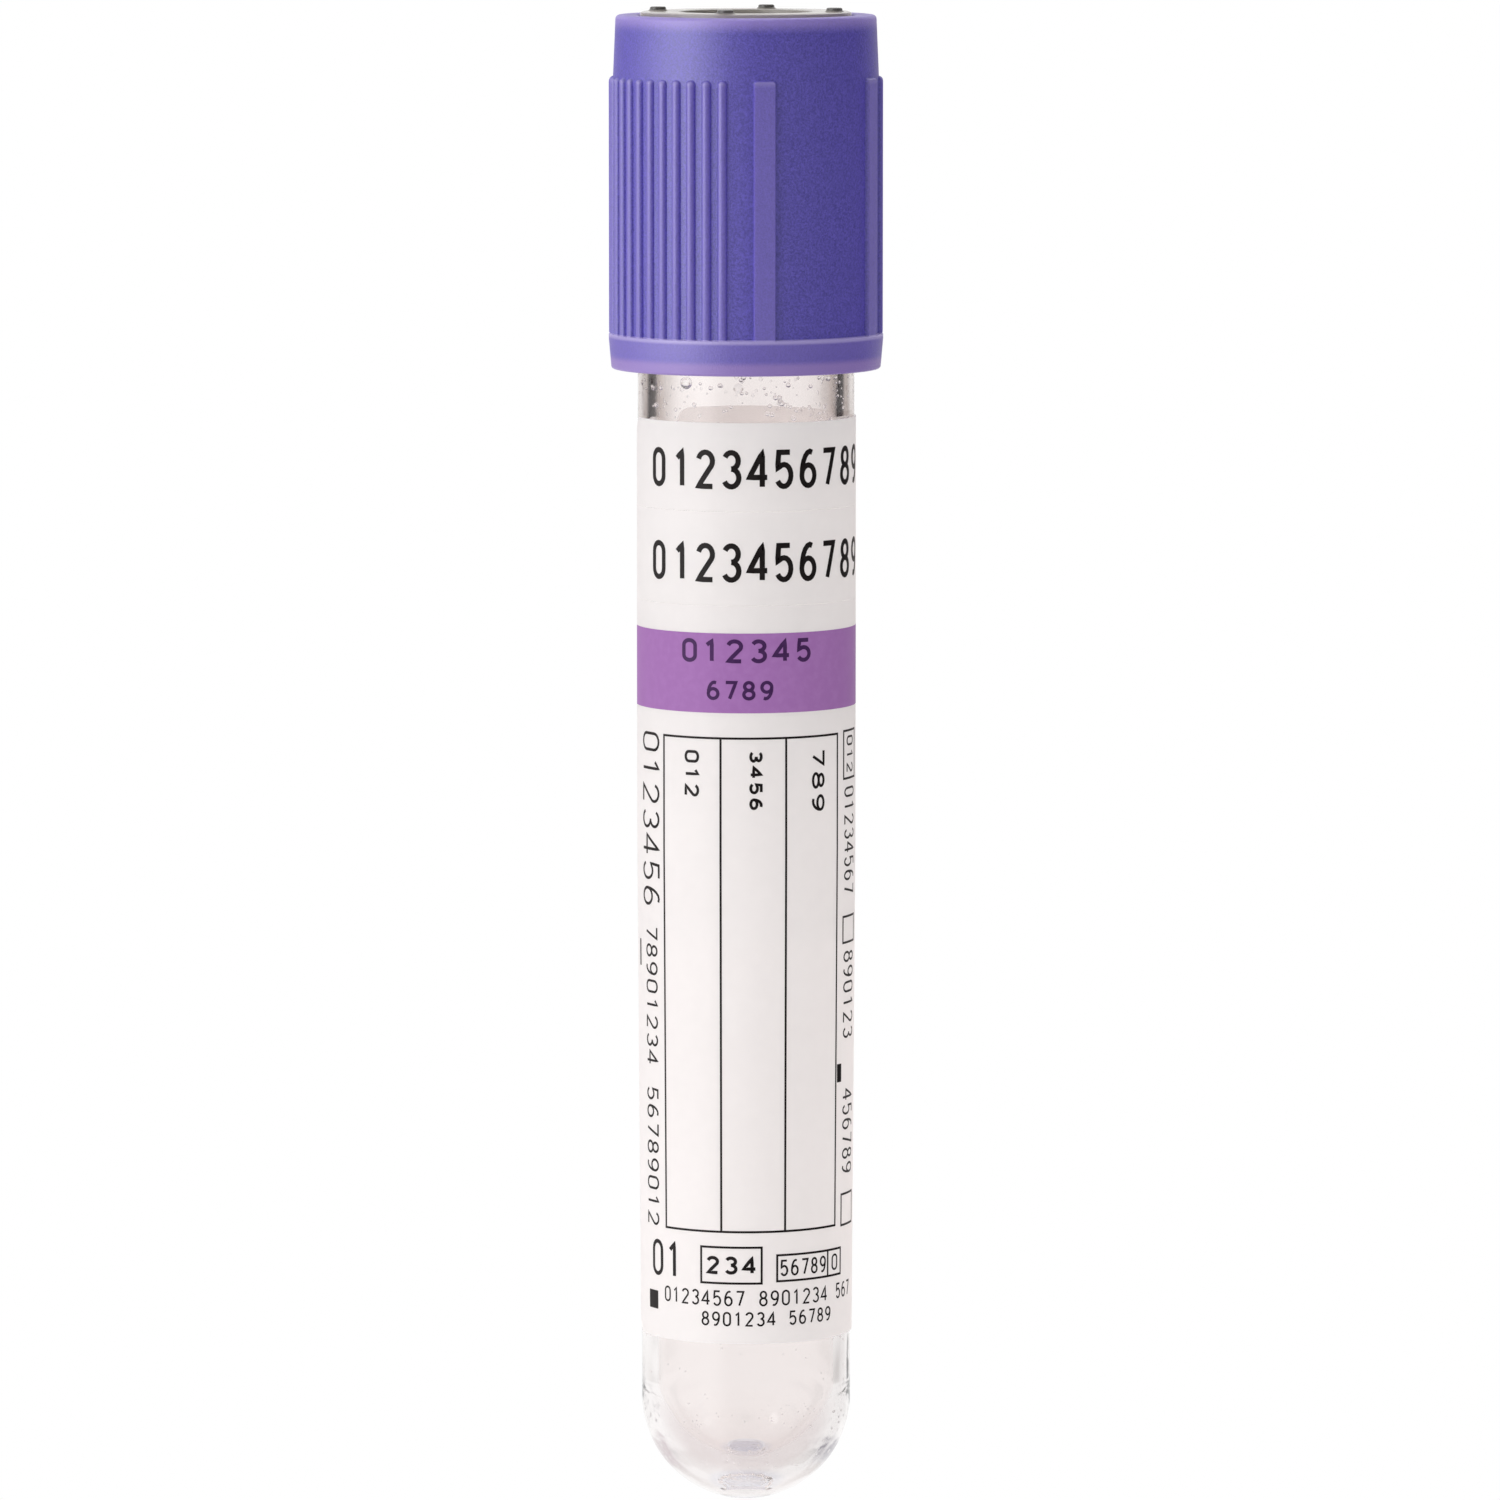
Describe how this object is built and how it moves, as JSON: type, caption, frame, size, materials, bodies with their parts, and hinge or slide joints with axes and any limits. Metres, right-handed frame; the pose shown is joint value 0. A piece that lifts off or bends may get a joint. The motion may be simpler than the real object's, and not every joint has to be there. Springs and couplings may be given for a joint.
{
  "type": "blood collection tube",
  "caption": "Round-bottom clear tube with a pull-off ribbed safety cap and rubber stopper, wrapped in a white label with a violet band.",
  "frame": {"origin": "centre of the bounding box's lower face, on the surface that the tube stands on, cap down", "axes": "+Z from the cap up to the round bottom, -Y out of the middle of the printed side, which reads upside down"},
  "size_m": [0.0164, 0.0164, 0.09],
  "materials": {
    "clear_tube": "gloss",
    "cap_plastic": "satin",
    "stopper_rubber": "matte",
    "label_paper": "satin",
    "additive": "gloss"
  },
  "bodies": {
    "closure": {"safety_cap": "cap_plastic", "stopper": "stopper_rubber"},
    "labelled_tube": {"tube": "clear_tube", "label": "label_paper", "number_strip_upper": "label_paper", "number_strip_lower": "label_paper", "additive_droplets": "additive"}
  },
  "joints": [
    {"name": "tube_pull", "type": "slide", "parent": "closure", "child": "labelled_tube", "axis": [0, 0, 1], "range_m": [0, 0.025]}
  ]
}
